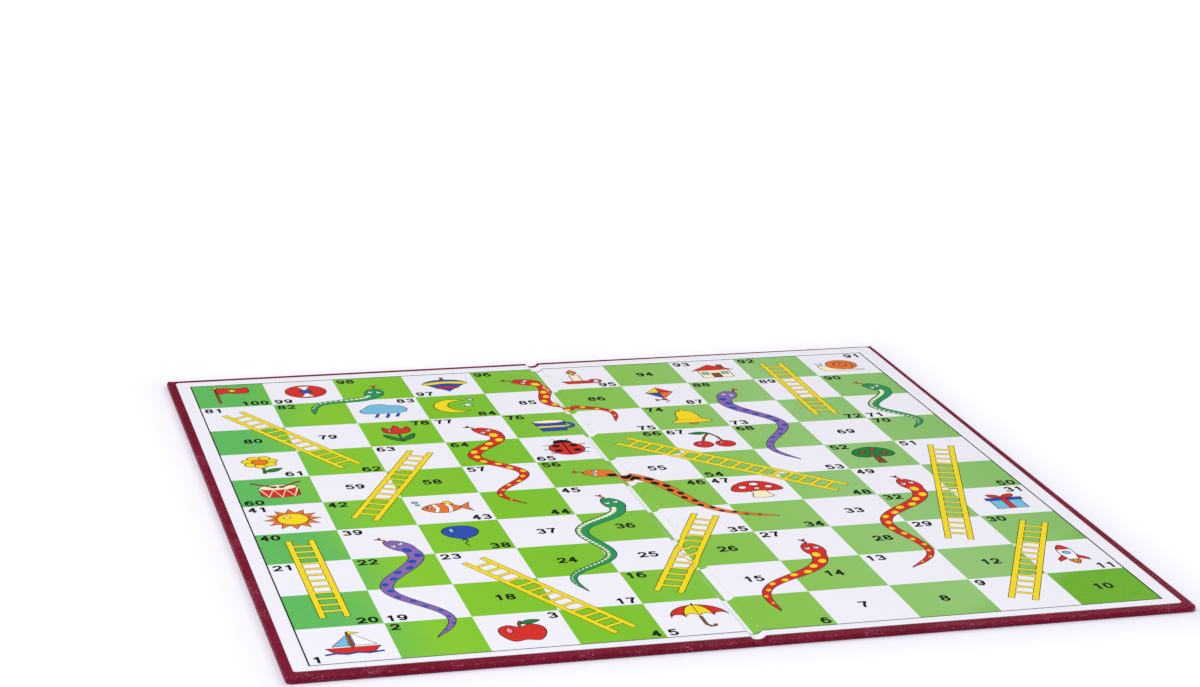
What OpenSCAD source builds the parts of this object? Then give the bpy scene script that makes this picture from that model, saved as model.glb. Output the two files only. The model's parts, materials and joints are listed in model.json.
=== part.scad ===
// Folding snakes and ladders board, lying open.
// Two pressed-board panels share one wrap of leather-grain paper and one printed sheet.
// They fold face to face on a flexible spine that has a crease along each side.
// The origin is on the underside, in the middle of the fold. The last row of squares is towards +Y.

/* [Board] */
// Side of one playing square
cell = 32; // [28:0.5:40]
// White paper left between the playing squares and the printed sheet's edge
white_border = 6; // [5.8:0.2:12]
// Wrap paper that shows on top along the board's edge
turn_in_show = 4; // [3:0.25:8]
// Wrap paper tucked under the printed sheet's edge
turn_in_tuck = 5; // [3:0.2:5]
// Rounding of the printed sheet's outer corners
sheet_corner = 1.5; // [1:0.5:5]

/* [Layers] */
// Pressed greyboard in each panel
greyboard_t = 1.7; // [1.3:0.1:3]
// Leather-grain wrap paper
wrap_t = 0.2; // [0.14:0.02:0.3]
// Printed and laminated playing sheet
sheet_t = 0.2; // [0.14:0.02:0.3]
// Cloth tape that carries the fold
tape_t = 0.15; // [0.1:0.01:0.25]
// Printed colour on the playing sheet
ink_t = 0.04; // [0.03:0.01:0.08]
// Outer radius of the wrap where it turns over a panel's edge
edge_round = 0.5; // [0.4:0.05:0.7]

/* [Fold] */
// Air between the two printed edges when the board is closed
closed_gap = 0.3; // [0.2:0.05:1]
// Air between a folded panel and the layers on the spine
spine_clear = 0.15; // [0.1:0.05:0.4]
// Slit between the panel's layers and the spine's at each crease
crease_slit = 0.05; // [0.02:0.01:0.1]
// Width of the cloth tape, laid over both panels' undersides
tape_w = 30; // [20:1:50]

/* [Print] */
// Black line around the playing squares
frame_line_w = 0.6; // [0.2:0.1:0.8]
// Bare paper around each green square
ink_slit = 0.1; // [0.06:0.02:0.3]
// Width of a ladder over its rails
ladder_w = 11; // [8:0.5:12]
// Width of a ladder's rail
rail_w = 2.1; // [1.4:0.1:2.6]
// Width of a ladder's rung
rung_w = 1.5; // [0.8:0.1:1.8]
// Distance between the middles of neighbouring rungs, at most
rung_pitch = 6.6; // [5:0.2:10]
// Length of a ladder past the middles of its two squares
ladder_reach = 7; // [4:0.5:10]
// Width of a snake's body behind its head
snake_w = 6.4; // [4:0.2:8]
// Width of a snake's tail end
tail_w = 1; // [0.6:0.1:2]
// Width of a snake's head
head_w = 8.4; // [7:0.2:10]
// Length of a snake's head
head_l = 12; // [9:0.5:15]
// Sideways swing of a snake's widest bends
sway = 8.6; // [4:0.2:10]

/* [Hidden] */

// Squares along each side of the game
squares = 10;
// Ladders, each from its foot's square to its top's square
ladder_runs = [[4, 23], [9, 30], [16, 35], [20, 40], [29, 51], [42, 63], [48, 66], [62, 81], [72, 92]];
// Snakes, each from its head's square to its tail's square
snake_runs = [[39, 2], [27, 6], [45, 17], [49, 13], [56, 34], [77, 44], [88, 53], [90, 70], [96, 75],
    [98, 82]];
// Bends in each snake, and its sideways swing as a share of the widest
snake_bends = [3, 2, 4, 3, 2, 4, 3, 3, 3, 2];
sway_shares = [1, 0.9, 0.75, 0.9, 0.9, 0.9, -0.9, 0.75, 0.85, 0.7];
snake_colours = ["#7a55a0", "#d8202c", "#3fa35a", "#d8202c", "#f07a24", "#d8202c", "#7a55a0",
    "#3fa35a", "#d8202c", "#3fa35a"];

maroon = "#6e1a38";
arc_steps = 4;
snake_steps = 44;
// Points crowd towards a snake's head by this power
crowding = 1.25;
// The body keeps its width for longer with a lower power
taper = 0.7;
overrun = 5;

grid_half = squares * cell / 2;
sheet_half = grid_half + white_border;
board_half = sheet_half + turn_in_show;
turn_in_w = turn_in_show + turn_in_tuck;
flap_end = board_half - turn_in_w;

// Heights above the table
board_top = wrap_t + greyboard_t;
flap_top = board_top + wrap_t;
pivot_z = wrap_t + tape_t;
panel_top = flap_top + sheet_t;

// The closed panels need a spine as wide as both their heights over the creases
spine_w = 2 * (panel_top - pivot_z) + closed_gap;
crease_x = spine_w / 2;
spine_half = crease_x - crease_slit / 2;
stub_start = crease_x + crease_slit / 2;
// Each printed face ends far enough from its crease to stand clear of the spine's layers
face_start = crease_x + wrap_t + sheet_t + spine_clear;
board_start = face_start + sheet_t;

function arc(middle_u, middle_v, radius, from, to) =
    [for (k = [0:arc_steps]) let (a = from + (to - from) * k / arc_steps)
        [middle_u + radius * cos(a), middle_v + radius * sin(a)]];

// Section through a turned-over edge: u runs inwards from the board's edge and v upwards
function turn_in_section(height, radius) = let (inner = radius - wrap_t) concat(
    arc(radius, radius, radius, 270, 180),
    arc(radius, height - radius, radius, 180, 90),
    [[turn_in_w, height], [turn_in_w, height - wrap_t]],
    inner > 0 ? arc(radius, height - radius, inner, 90, 180) : [[wrap_t, height - wrap_t]],
    inner > 0 ? arc(radius, radius, inner, 180, 270) : [[wrap_t, wrap_t]]);

// The greyboard's rounded edge, from its underside round to its top
function board_edge(u, way) = [for (p = concat(
    arc(edge_round, edge_round, edge_round - wrap_t, 270, 180),
    arc(edge_round, flap_top - edge_round, edge_round - wrap_t, 180, 90)))
    [u + way * p[0], p[1]]];

function reversed(list) = [for (k = [len(list) - 1:-1:0]) list[k]];

// Middle of a numbered square: the count turns back at the end of each row
function square_middle(number) = let (
    row = floor((number - 1) / squares),
    step = (number - 1) % squares,
    column = row % 2 == 0 ? step : squares - 1 - step)
    [column * cell + cell / 2 - grid_half, row * cell + cell / 2 - grid_half];

// One point of a snake's outline, on the side given by way, at a share s of its length
function snake_point(from, to, bends, swing, s, way) = let (
    along = to - from,
    length = norm(along),
    forward = along / length,
    left = [-forward[1], forward[0]],
    offset = swing * sin(180 * bends * s),
    slope = swing * PI * bends * cos(180 * bends * s) / length,
    turn = [-slope, 1] / norm([slope, 1]),
    in_head = min(s * length / head_l, 1),
    head = head_w / 2 * sqrt(max(0, 1 - pow(2 * in_head - 1, 2))),
    body = in_head < 1 / 2 ? 0 : tail_w / 2 + (snake_w - tail_w) / 2 * pow(1 - s, taper),
    half_w = s < 1 ? max(head, body) : 0)
    from + forward * (length * s + turn[0] * half_w * way) + left * (offset + turn[1] * half_w * way);

// Repeats the right panel's part as the left panel's
module panel_side(side) {
    mirror([side == "left" ? 1 : 0, 0, 0]) children();
}

// Repeats the front edge's part as the rear edge's
module panel_end(end) {
    mirror([0, end == "rear" ? 1 : 0, 0]) children();
}

module slab(x_from, x_to, y_half, z_from, z_to) {
    translate([x_from, -y_half, z_from]) cube([x_to - x_from, 2 * y_half, z_to - z_from]);
}

// A section drawn as distance across the board and height, drawn out along X
module along_x(from, to, points) {
    translate([from, 0, 0]) rotate([90, 0, 90]) linear_extrude(to - from) polygon(points);
}

// The same, drawn out along Y on both sides of the middle
module along_y(y_half, points) {
    rotate([90, 0, 0]) linear_extrude(2 * y_half, center = true) polygon(points);
}

module greyboard(side) {
    color("#8d8778") panel_side(side) difference() {
        intersection() {
            along_y(board_half, concat([[board_start, wrap_t]], board_edge(board_half, -1),
                [[board_start, board_top]]));
            along_x(board_start, board_half,
                concat(board_edge(-board_half, 1), reversed(board_edge(board_half, -1))));
        }
        slab(board_start - overrun, tape_w / 2, board_half - edge_round, wrap_t - overrun, pivot_z);
    }
}

module back_cover(side) {
    cover_half = board_half - edge_round;
    color(maroon) panel_side(side) linear_extrude(wrap_t) union() {
        translate([stub_start, -cover_half]) square([cover_half - stub_start, 2 * cover_half]);
        translate([stub_start, -board_half]) square([board_start - stub_start, 2 * board_half]);
    }
}

module end_turn_in(side, end) {
    color(maroon) panel_side(side) panel_end(end) intersection() {
        translate([0, -board_half, 0])
            along_x(board_start, board_half, turn_in_section(flap_top, edge_round));
        linear_extrude(flap_top) polygon([[board_start, -board_half], [board_half, -board_half],
            [flap_end, -flap_end], [board_start, -flap_end]]);
    }
}

module side_turn_in(side) {
    color(maroon) panel_side(side) intersection() {
        translate([board_half, 0, 0]) mirror([1, 0, 0])
            along_y(board_half, turn_in_section(flap_top, edge_round));
        linear_extrude(flap_top) polygon([[board_half, -board_half], [board_half, board_half],
            [flap_end, flap_end], [flap_end, -flap_end]]);
    }
}

module hinge_wing(side) {
    color("#d9d2c0") panel_side(side)
        slab(stub_start, tape_w / 2, board_half - edge_round, wrap_t, pivot_z);
}

// Outline of the printed sheet on one panel, with its two rounded corners
module sheet_outline() {
    straight = sheet_half - sheet_corner;
    polygon(concat([[face_start, -sheet_half]], arc(straight, -straight, sheet_corner, -90, 0),
        arc(straight, straight, sheet_corner, 0, 90), [[face_start, sheet_half]]));
}

// The sheet lies on the greyboard, steps up over the tucked wrap and turns down into the groove
module playing_sheet(side) {
    step_end = flap_end - sheet_t;
    color("white") panel_side(side) union() {
        slab(face_start, flap_end, flap_end, board_top, board_top + sheet_t);
        difference() {
            union() {
                slab(face_start, flap_end, flap_end, board_top, panel_top);
                translate([0, 0, flap_top]) linear_extrude(sheet_t) sheet_outline();
            }
            slab(face_start - overrun, step_end, step_end, board_top - overrun, panel_top + overrun);
        }
        slab(face_start, board_start, sheet_half, pivot_z, board_top + sheet_t);
        for (end = ["front", "rear"]) panel_end(end) translate([face_start, -sheet_half, pivot_z])
            cube([sheet_t, sheet_half - step_end, panel_top - pivot_z]);
    }
}

module spine_cover() {
    color(maroon) slab(-spine_half, spine_half, board_half - wrap_t, 0, wrap_t);
}

module hinge_tape() {
    color("#d9d2c0") slab(-spine_half, spine_half, board_half - wrap_t, wrap_t, pivot_z);
}

module spine_turn_in(end) {
    color(maroon) panel_end(end) translate([0, -board_half, 0])
        along_x(-spine_half, spine_half, turn_in_section(pivot_z + wrap_t, wrap_t));
}

module groove_sheet() {
    half_section = [[flap_end, 0], [flap_end, wrap_t], [sheet_half, wrap_t],
        [sheet_half, wrap_t + sheet_t], [flap_end - sheet_t, wrap_t + sheet_t],
        [flap_end - sheet_t, sheet_t]];
    color("white") translate([0, 0, pivot_z]) along_x(-spine_half, spine_half,
        concat(half_section, [for (p = reversed(half_section)) [-p[0], p[1]]]));
}

// Part of the print that one panel or the groove carries, set at that part's height
module print_on(zone) {
    from = zone == "left" ? -board_half : zone == "right" ? face_start : -spine_half;
    to = zone == "left" ? -face_start : zone == "right" ? board_half : spine_half;
    height = zone == "groove" ? pivot_z + sheet_t : board_top + sheet_t;
    translate([0, 0, height]) linear_extrude(ink_t) intersection() {
        children();
        translate([from, -board_half]) square([to - from, 2 * board_half]);
    }
}

// Reach of a printed shape across the board, to leave out those that a zone doesn't meet
function meets(zone, run) = let (
    ends = [square_middle(run[0])[0], square_middle(run[1])[0]],
    low = min(ends) - cell / 2,
    high = max(ends) + cell / 2)
    zone == "left" ? low < -face_start : zone == "right" ? high > face_start
        : low < -spine_half && high > spine_half;

// A ladder is one strip with the spaces between its rungs cut out
module ladder_shape(run) {
    foot = square_middle(run[0]);
    along = square_middle(run[1]) - foot;
    length = norm(along) + 2 * ladder_reach;
    spaces = ceil((length - rung_w) / rung_pitch) + 1;
    pitch = length / spaces;
    translate(foot) rotate(atan2(along[1], along[0])) translate([-ladder_reach, 0]) difference() {
        translate([0, -ladder_w / 2]) square([length, ladder_w]);
        for (k = [0:spaces - 1]) translate([k * pitch + rung_w / 2, rail_w - ladder_w / 2])
            square([pitch - rung_w, ladder_w - 2 * rail_w]);
        for (edge = [-overrun, length - rung_w / 2]) translate([edge, rail_w - ladder_w / 2])
            square([overrun + rung_w / 2, ladder_w - 2 * rail_w]);
    }
}

module snake_shape(k) {
    from = square_middle(snake_runs[k][0]);
    to = square_middle(snake_runs[k][1]);
    swing = sway * sway_shares[k];
    steps = [for (i = [0:snake_steps]) pow(i / snake_steps, crowding)];
    polygon(concat(
        [for (s = steps) snake_point(from, to, snake_bends[k], swing, s, 1)],
        [for (i = [snake_steps - 1:-1:1])
            snake_point(from, to, snake_bends[k], swing, steps[i], -1)]));
}

module green_squares(zone) {
    mark = cell - ink_slit;
    color("#6cb545") print_on(zone) difference() {
        for (row = [0:squares - 1], column = [0:squares - 1])
            if ((row + column) % 2 == 1 && (zone == "left" ? column < squares / 2
                : zone == "right" ? column >= squares / 2
                : abs(column - squares / 2 + 1 / 2) < 1))
                translate([column * cell - grid_half + ink_slit / 2,
                    row * cell - grid_half + ink_slit / 2]) square(mark);
        for (run = ladder_runs) if (meets(zone, run)) ladder_shape(run);
        for (k = [0:len(snake_runs) - 1]) if (meets(zone, snake_runs[k])) snake_shape(k);
    }
}

module frame_line(zone) {
    color("#181818") print_on(zone) difference() {
        square(2 * (grid_half + frame_line_w), center = true);
        square(2 * grid_half, center = true);
    }
}

module ladders(zone) {
    color("#f8da12") print_on(zone) for (run = ladder_runs) if (meets(zone, run)) ladder_shape(run);
}

module snakes(zone) {
    for (k = [0:len(snake_runs) - 1]) if (meets(zone, snake_runs[k]))
        color(snake_colours[k]) print_on(zone) snake_shape(k);
}

greyboard("left");  // left_greyboard
back_cover("left");  // left_back_cover
end_turn_in("left", "front");  // left_front_turn_in
end_turn_in("left", "rear");  // left_rear_turn_in
side_turn_in("left");  // left_side_turn_in
hinge_wing("left");  // left_hinge_wing
playing_sheet("left");  // left_playing_sheet
green_squares("left");  // left_green_squares
frame_line("left");  // left_frame_line
ladders("left");  // left_ladders
snakes("left");  // left_snakes
spine_cover();
hinge_tape();
spine_turn_in("front");  // spine_front_turn_in
spine_turn_in("rear");  // spine_rear_turn_in
groove_sheet();
green_squares("groove");  // groove_green_squares
frame_line("groove");  // groove_frame_line
ladders("groove");  // groove_ladders
snakes("groove");  // groove_snakes
greyboard("right");  // right_greyboard
back_cover("right");  // right_back_cover
end_turn_in("right", "front");  // right_front_turn_in
end_turn_in("right", "rear");  // right_rear_turn_in
side_turn_in("right");  // right_side_turn_in
hinge_wing("right");  // right_hinge_wing
playing_sheet("right");  // right_playing_sheet
green_squares("right");  // right_green_squares
frame_line("right");  // right_frame_line
ladders("right");  // right_ladders
snakes("right");  // right_snakes
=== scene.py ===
import json
import random
from math import atan2, cos, exp, floor, hypot, pi, radians, sin, sqrt, tau
import bpy
import bmesh
from mathutils import Matrix, Vector
from mathutils.geometry import delaunay_2d_cdt


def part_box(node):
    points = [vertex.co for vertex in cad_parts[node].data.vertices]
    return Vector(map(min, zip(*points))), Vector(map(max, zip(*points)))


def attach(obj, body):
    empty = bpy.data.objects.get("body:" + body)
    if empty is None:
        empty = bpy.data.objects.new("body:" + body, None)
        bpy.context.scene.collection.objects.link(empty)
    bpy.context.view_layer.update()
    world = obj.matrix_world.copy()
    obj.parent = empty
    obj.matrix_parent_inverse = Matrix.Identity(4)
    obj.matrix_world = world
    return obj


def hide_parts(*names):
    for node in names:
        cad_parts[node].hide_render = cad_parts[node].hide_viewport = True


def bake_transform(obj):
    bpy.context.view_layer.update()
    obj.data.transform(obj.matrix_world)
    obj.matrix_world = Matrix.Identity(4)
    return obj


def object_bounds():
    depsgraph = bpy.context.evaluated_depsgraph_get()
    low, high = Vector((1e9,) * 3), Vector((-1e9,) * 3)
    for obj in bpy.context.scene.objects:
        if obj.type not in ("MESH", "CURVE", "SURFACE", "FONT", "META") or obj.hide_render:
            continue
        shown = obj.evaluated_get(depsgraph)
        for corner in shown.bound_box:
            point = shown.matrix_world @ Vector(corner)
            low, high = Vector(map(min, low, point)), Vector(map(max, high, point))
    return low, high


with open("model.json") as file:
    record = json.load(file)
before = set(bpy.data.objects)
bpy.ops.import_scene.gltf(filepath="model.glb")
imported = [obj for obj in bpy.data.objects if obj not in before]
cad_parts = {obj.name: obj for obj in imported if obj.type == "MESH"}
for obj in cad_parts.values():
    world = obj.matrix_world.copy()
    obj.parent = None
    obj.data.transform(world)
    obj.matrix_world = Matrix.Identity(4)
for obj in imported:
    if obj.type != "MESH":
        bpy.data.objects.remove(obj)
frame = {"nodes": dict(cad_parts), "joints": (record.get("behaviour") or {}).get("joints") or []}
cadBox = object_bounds()
print("frame loaded:", len(frame["nodes"]), "nodes")

# Everything on the board is laid out in millimetres and made metres at the end
mm = 0.001


def boxInMm(node):
    low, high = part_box(node)
    return [v / mm for v in low], [v / mm for v in high]


sheetLow, sheetHigh = boxInMm("left_playing_sheet")
flapHigh = boxInMm("left_front_turn_in")[1]
grooveHigh = boxInMm("groove_sheet")[1]
boardLow, boardHigh = boxInMm("left_greyboard")
creaseX = abs(frame["joints"][0]["pos_m"][0]) / mm

board = {
    "half": cadBox[1][0] / mm,           # outer edge of the wrap
    "sheetHalf": -sheetLow[0],           # edge of the printed sheet
    "faceStart": -sheetHigh[0],          # wall of the groove
    "paper": flapHigh[2] - boardHigh[2],
    "flapTop": flapHigh[2],
    "flapWidth": cadBox[1][1] / mm + flapHigh[1],
    "grooveFloor": grooveHigh[2] - (flapHigh[2] - boardHigh[2]),
    "cell": 32.0,
    "cells": 10,
    "shoulder": 0.42,                    # the paper's bend over the board's edge
    "trough": 0.22,                      # air left under the sheet in the middle of the groove
}
cell, paper, flapTop, sheetHalf = (board[k] for k in ("cell", "paper", "flapTop", "sheetHalf"))
gridHalf = cell * board["cells"] / 2
print("board", {k: round(v, 3) for k, v in board.items()}, "crease", round(creaseX, 3))


# Node helpers

class Term:
    # a node's output that can be added, scaled and compared like a number
    def __init__(self, socket):
        self.socket, self.tree = socket, socket.id_data


def plug(socket, value):
    if isinstance(value, Term):
        value.tree.links.new(value.socket, socket)
    elif value is not None:
        socket.default_value = value


def calc(operation, *values, clamp=False, kind="ShaderNodeMath"):
    made = next(v for v in values if isinstance(v, Term)).tree.nodes.new(kind)
    made.operation = operation
    if clamp:
        made.use_clamp = True
    for socket, value in zip(made.inputs, values):
        plug(socket, value)
    return Term(made.outputs[0])


def limited(operation, *values):
    return calc(operation, *values, clamp=True)


def vectors(operation, *values):
    return calc(operation, *values, kind="ShaderNodeVectorMath")


def scaled(vector, factor):
    return vectors("SCALE", vector, None, None, factor)


signs = {"add": "ADD", "sub": "SUBTRACT", "mul": "MULTIPLY", "truediv": "DIVIDE", "pow": "POWER"}
for sign, operation in signs.items():
    setattr(Term, f"__{sign}__", lambda a, b, operation=operation: calc(operation, a, b))
    setattr(Term, f"__r{sign}__", lambda a, b, operation=operation: calc(operation, b, a))


def node(tree, kind, out=0, setup=None, **inputs):
    made = tree.nodes.new(kind)
    for key, value in (setup or {}).items():
        setattr(made, key, value)
    for key, value in inputs.items():
        socket = next(s for s in made.inputs if s.enabled and s.name == key.replace("_", " "))
        for each in value if isinstance(value, list) else [value]:
            plug(socket, each)
    return Term([s for s in made.outputs if s.enabled][out])


def split(vector):
    made = vector.tree.nodes.new("ShaderNodeSeparateXYZ")
    plug(made.inputs[0], vector)
    return [Term(s) for s in made.outputs]


def groupWith(name, inputs, outputs, kind="Shader"):
    # a group, its inputs as terms and its outputs' sockets; an input is given by its default or its kind
    tree = bpy.data.node_groups.new(name, kind + "NodeTree")
    results = dict.fromkeys(outputs, "Float" if kind == "Shader" else kind)
    for side, sockets in (("INPUT", inputs), ("OUTPUT", results)):
        for label, value in sockets.items():
            typed = isinstance(value, str)
            made = tree.interface.new_socket(name=label, in_out=side,
                                             socket_type="NodeSocket" + (value if typed else "Float"))
            if not typed:
                made.default_value = value
    given = tree.nodes.new("NodeGroupInput")
    result = tree.nodes.new("NodeGroupOutput")
    return tree, [Term(s) for s in given.outputs if s.name], result.inputs


# Shader groups

def noise(point, scale, detail=2.0, roughness=0.5):
    return node(point.tree, "ShaderNodeTexNoise", Vector=point, Scale=scale, Detail=detail, Roughness=roughness)


def stretched(point, scale, turn=0.0):
    return node(point.tree, "ShaderNodeMapping", Vector=point, Rotation=(0, 0, turn), Scale=scale)


def buildFilmGroup():
    # glossy film over print: long waves from the glue, a fine pebble and faint rub marks
    tree, (point, base, spread, pebble, rub), out = groupWith(
        "glossFilm", {"Point": "Vector", "Base": 0.3, "Spread": 0.08, "Pebble": 0.35, "Rub": 0.5},
        ["Roughness", "Height"])
    waves = noise(point, 38)
    rubs = noise(stretched(point, (40, 900, 40), 0.6), 1, 3, 0.6)
    patches = noise(point, 22, 3, 0.6)
    marks = limited("MULTIPLY", (rubs - 0.56) * 6, (patches - 0.42) * 4)
    plug(out["Roughness"], base + (waves - 0.5) * spread + marks * rub * 0.25)
    plug(out["Height"], waves * 0.9 + noise(point, 1500, 1) * pebble * 0.05 - marks * 0.008)
    return tree


def buildGrainGroup():
    # leather grain pressed into paper: rounded pebbles between fine valleys, and painted glints on them in patches,
    # pale specks in the colour that stand in for highlights
    tree, (point, grain), out = groupWith("leatherGrain", {"Point": "Vector", "Grain": 1400.0},
                                          ["Height", "Valley", "Fleck"])
    warp = noise(point, 500)
    shift = scaled(node(tree, "ShaderNodeCombineXYZ", X=warp, Y=warp, Z=warp), 0.0007)
    cells = node(tree, "ShaderNodeTexVoronoi", setup={"feature": "DISTANCE_TO_EDGE"},
                 Vector=vectors("ADD", point, shift), Scale=grain)
    rise = calc("SMOOTH_MIN", cells * 3.2, 1.0, 0.3)
    patches = limited("MULTIPLY", noise(point, 60) - 0.5, 9.0)
    glints = limited("MULTIPLY", noise(point, 2300, 1) - (0.66 - patches * 0.06), 9.0)
    plug(out["Height"], rise + noise(point, 3600) * 0.25)
    plug(out["Valley"], limited("SUBTRACT", 1.0, rise))
    plug(out["Fleck"], glints * (0.55 + patches * 0.45))
    return tree


def buildWearGroup():
    # rubbed edges: a thin line along the board's upper and lower outer edges, more at the corners
    tree, (point, half, top, reach, amount), out = groupWith(
        "edgeWear", {"Point": "Vector", "Half": 0.17, "Top": 0.0021, "Reach": 0.0005, "Amount": 0.5}, ["Mask"])
    x, y, z = split(point)
    nearX, nearY = half - calc("ABSOLUTE", x), half - calc("ABSOLUTE", y)
    near, corner = calc("MINIMUM", nearX, nearY), calc("MAXIMUM", nearX, nearY)
    down = calc("MINIMUM", calc("ABSOLUTE", top - z), calc("ABSOLUTE", z))
    rim = limited("SUBTRACT", 1.0, (near + down) / reach - 0.35)
    tip = limited("SUBTRACT", 1.0, corner / (reach * 9))
    beside = limited("SUBTRACT", 1.0, near / (reach * 3))
    worn = (noise(point, 420, 4, 0.65) - 0.52) * 6
    plug(out["Mask"], limited("MULTIPLY", worn, calc("MAXIMUM", rim, tip * beside)) * amount)
    return tree


def buildFibreGroup():
    # bare paper and pressed board: short fibres and soft specks
    tree, (place, scale, specks), out = groupWith(
        "paperFibre", {"Point": "Vector", "Scale": 1.0, "Specks": 0.5}, ["Shade", "Height"])
    point = scaled(place, scale)
    fibres = calc("MAXIMUM", *(noise(stretched(point, (300, 2600, 2600), turn), 1) for turn in (0.0, 1.1)))
    dark = calc("GREATER_THAN", noise(point, 1700, 1), 0.71)
    plug(out["Shade"], fibres * 0.5 + noise(point, 60, 3) * 0.5 - dark * specks)
    plug(out["Height"], fibres)
    return tree


def buildWeaveGroup():
    # plain cloth tape: warp and weft over and under each other
    tree, (point, threads), out = groupWith("tapeWeave", {"Point": "Vector", "Threads": 2600.0},
                                            ["Height", "Shade"])
    warp, weft = (calc("SINE", along * threads * pi) for along in split(point)[:2])
    cross, slub = warp * weft, noise(point, 700)
    plug(out["Height"], calc("ABSOLUTE", cross) + slub * 0.4)
    plug(out["Shade"], cross * 0.5 + slub * 0.5)
    return tree


filmGroup, grainGroup, wearGroup = buildFilmGroup(), buildGrainGroup(), buildWearGroup()
fibreGroup, weaveGroup = buildFibreGroup(), buildWeaveGroup()


# Materials

def place(group, point, **values):
    made = point.tree.nodes.new("ShaderNodeGroup")
    made.node_tree = group
    for key, value in dict(values, Point=point).items():
        plug(made.inputs[key], value)
    return {s.name: Term(s) for s in made.outputs}


def tone(*levels):
    # a colour as it is seen, in levels of 0 to 255, made linear
    shares = (level / 255 for level in levels)
    return *(c / 12.92 if c <= 0.04045 else ((c + 0.055) / 1.055) ** 2.4 for c in shares), 1.0


def ramp(value, *stops):
    made = value.tree.nodes.new("ShaderNodeValToRGB")
    band = made.color_ramp
    while len(band.elements) < len(stops):
        band.elements.new(0.5)
    for element, (position, colour) in zip(band.elements, stops):
        element.position, element.color = position, colour
    plug(made.inputs[0], value)
    return Term(made.outputs[0])


def mixed(factor, a, b):
    made = factor.tree.nodes.new("ShaderNodeMix")
    made.data_type = "RGBA"
    for socket, value in zip([s for s in made.inputs if s.enabled], (factor, a, b)):
        plug(socket, value)
    return Term(next(s for s in made.outputs if s.enabled))


def emptied(holder):
    # the node tree of a material or a world, with nothing in it
    holder.use_nodes = True
    holder.node_tree.nodes.clear()
    return holder.node_tree


def surface(name, look, depth, specular=0.5):
    # a material from the colour, roughness and height that look gives for a point
    material = bpy.data.materials.new(name)
    tree = emptied(material)
    shader = tree.nodes.new("ShaderNodeBsdfPrincipled")
    colour, rough, height = look(node(tree, "ShaderNodeTexCoord", out=3))
    bump = node(tree, "ShaderNodeBump", Strength=1.0, Distance=depth, Height=height)
    for key, value in (("Base Color", colour), ("Roughness", rough), ("Specular IOR Level", specular),
                       ("Normal", bump)):
        plug(shader.inputs[key], value)
    plug(tree.nodes.new("ShaderNodeOutputMaterial").inputs[0], Term(shader.outputs[0]))
    return material


# The colours as they look in print. A green runs from cool on the left to warm in the middle, and then paler and
# bluer to the right, a painted sheen of the gloss
inks = {
    "paper": (241, 240, 250), "green": None, "black": (17, 17, 20), "yellow": (246, 219, 22),
    "red": (214, 44, 36), "snakeGreen": (38, 150, 92), "purple": (136, 104, 178), "orange": (236, 118, 40),
    "deepRed": (160, 24, 30), "cream": (250, 240, 200), "sky": (120, 190, 226), "blue": (42, 78, 176),
    "brown": (134, 78, 40), "pink": (242, 134, 160), "leaf": (30, 128, 58), "white": (248, 248, 252),
    "wornPaper": (226, 224, 222),
}
inkNames = list(inks)
filmFinish = {"Base": 0.24, "Spread": 0.08, "Pebble": 0.35, "Rub": 0.3}
# the deeper green where the painted sheen gives way, at the front right corner
sheenFreeCorner = {"from": 240, "over": 30, "tone": tone(108, 176, 40)}
greenStops = [(0.05, tone(94, 186, 94)), (0.15, tone(134, 200, 46)), (0.35, tone(124, 194, 38)),
              (0.6, tone(138, 196, 84)), (0.8, tone(149, 199, 122)), (1.0, tone(137, 192, 106))]


def greenInk(point):
    x, y, z = split(point)
    across = x / (2 * gridHalf * mm) + 0.5 + (noise(point, 9) - 0.5) * 0.1
    # painted sheen: the ramp is paler and bluer to the right, where the gloss mirrored the light, and the front right
    # corner, out of that reflection, keeps a deeper green
    sheenFree = limited("MULTIPLY", x - y - sheenFreeCorner["from"] * mm, 1 / (sheenFreeCorner["over"] * mm))
    mottle = limited("MULTIPLY", noise(point, 420, 3, 0.6) - 0.45, 0.5)
    return mixed(mottle, mixed(sheenFree, ramp(across, *greenStops), sheenFreeCorner["tone"]), tone(150, 204, 84))


def inkMaterial(name):
    def look(point):
        film = place(filmGroup, point, **filmFinish)
        colour = greenInk(point) if name == "green" else tone(*inks[name])
        return colour, film["Roughness"], film["Height"]

    return surface(name + "Ink", look, 0.0001, 0.18)


def plainMaterial(name, group, depth, rough, dark, light, **values):
    # bare paper, board or cloth, between two tones by the group's shade
    def look(point):
        made = place(group, point, **values)
        return ramp(made["Shade"], dark, light), rough, made["Height"]

    return surface(name, look, depth)


def wrapLook(point):
    grain = place(grainGroup, point, Grain=1600.0)
    wear = place(wearGroup, point, Half=board["half"] * mm, Top=flapTop * mm, Reach=0.0006, Amount=0.35)
    cloud = noise(point, 45, 3, 0.55)
    colour = ramp(cloud, (0.3, tone(130, 0, 40)), (0.7, tone(150, 2, 54)))
    colour = mixed(grain["Valley"] * 0.6, colour, tone(84, 4, 28))
    # painted glints: pale pink specks put into the colour as highlights on the grain
    colour = mixed(grain["Fleck"] * 0.9, colour, tone(220, 132, 170))
    rough = 0.34 + grain["Valley"] * 0.25 + (cloud - 0.5) * 0.15 - grain["Fleck"] * 0.12
    return mixed(wear["Mask"], colour, tone(190, 124, 140)), rough, grain["Height"]


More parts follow.
